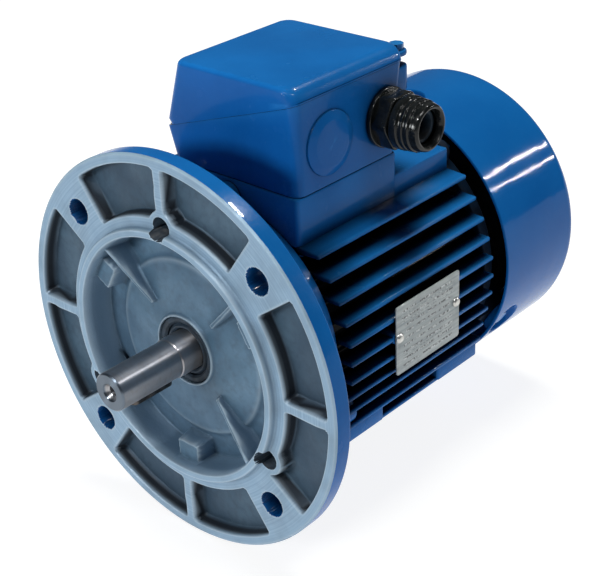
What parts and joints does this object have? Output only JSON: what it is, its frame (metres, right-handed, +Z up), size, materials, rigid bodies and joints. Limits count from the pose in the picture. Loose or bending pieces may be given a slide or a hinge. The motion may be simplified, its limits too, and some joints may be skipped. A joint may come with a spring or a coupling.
{
  "type": "electric motor",
  "caption": "Flange-mounted three-phase induction motor with a finned frame, a terminal box with cable gland on top, a keyed shaft end and a fan under a rear cover.",
  "frame": {"origin": "centre of the flange's mounting face, on the shaft axis", "axes": "+Y from the flange to the fan cover along the shaft axis, so the shaft end points to -Y; +Z up to the terminal box; the cable gland and the nameplate are on +X"},
  "size_m": [0.2, 0.268, 0.226],
  "materials": {
    "machine_steel": "bright turned steel",
    "lamination_steel": "stacked sheet steel",
    "cast_aluminium": "bare die-cast, lightly machined",
    "blue_paint": "gloss",
    "plate_metal": "satin",
    "winding": "varnished copper wire",
    "terminal_brass": "satin",
    "seal_rubber": "matte",
    "black_plastic": "gloss"
  },
  "bodies": {
    "housing": {"flange_shield": "cast_aluminium", "flange_screw_1": "machine_steel", "flange_screw_2": "machine_steel", "flange_screw_3": "machine_steel", "stator_frame": "blue_paint", "stator_core": "lamination_steel", "front_winding": "winding", "rear_winding": "winding", "lead_sleeve": "seal_rubber", "front_bearing_outer_race": "machine_steel", "rear_bearing_outer_race": "machine_steel", "wave_washer": "machine_steel", "front_seal": "seal_rubber", "rear_shield": "blue_paint", "rear_screw_1": "machine_steel", "rear_screw_2": "machine_steel", "rear_screw_3": "machine_steel", "fan_cover": "blue_paint", "cover_screw_1": "machine_steel", "cover_screw_2": "machine_steel", "cover_screw_3": "machine_steel", "terminal_box": "blue_paint", "box_gasket": "seal_rubber", "box_screw_1": "machine_steel", "box_screw_2": "machine_steel", "terminal_lid": "blue_paint", "lid_gasket": "seal_rubber", "lid_screw_1": "machine_steel", "lid_screw_2": "machine_steel", "terminal_board": "black_plastic", "terminal_stud_1": "terminal_brass", "terminal_stud_2": "terminal_brass", "terminal_stud_3": "terminal_brass", "terminal_stud_4": "terminal_brass", "terminal_stud_5": "terminal_brass", "terminal_stud_6": "terminal_brass", "terminal_link_1": "terminal_brass", "terminal_link_2": "terminal_brass", "terminal_link_3": "terminal_brass", "earth_screw": "terminal_brass", "gland_body": "black_plastic", "gland_seal": "seal_rubber", "gland_nut": "black_plastic", "nameplate": "plate_metal", "nameplate_rivet_1": "plate_metal", "nameplate_rivet_2": "plate_metal"},
    "rotor": {"shaft": "machine_steel", "shaft_key": "machine_steel", "rotor_core": "lamination_steel", "rotor_ring_front": "cast_aluminium", "rotor_ring_rear": "cast_aluminium", "front_bearing_inner_race": "machine_steel", "rear_bearing_inner_race": "machine_steel", "rear_seal": "seal_rubber", "fan": "black_plastic", "fan_clip": "machine_steel"},
    "front_cage": {"front_bearing_ball_cage": "machine_steel"},
    "rear_cage": {"rear_bearing_ball_cage": "machine_steel"}
  },
  "joints": [
    {"name": "rotor_spin", "type": "hinge", "parent": "housing", "child": "rotor", "pos_m": [0, 0, 0], "axis": [0, 1, 0], "continuous": true},
    {"name": "front_cage_spin", "type": "hinge", "parent": "housing", "child": "front_cage", "pos_m": [0, 0, 0], "axis": [0, 1, 0], "continuous": true},
    {"name": "rear_cage_spin", "type": "hinge", "parent": "housing", "child": "rear_cage", "pos_m": [0, 0, 0], "axis": [0, 1, 0], "continuous": true}
  ],
  "couplings": [
    {"joint": "front_cage_spin", "follows": "rotor_spin", "ratio": 0.3836},
    {"joint": "rear_cage_spin", "follows": "rotor_spin", "ratio": 0.3836}
  ]
}
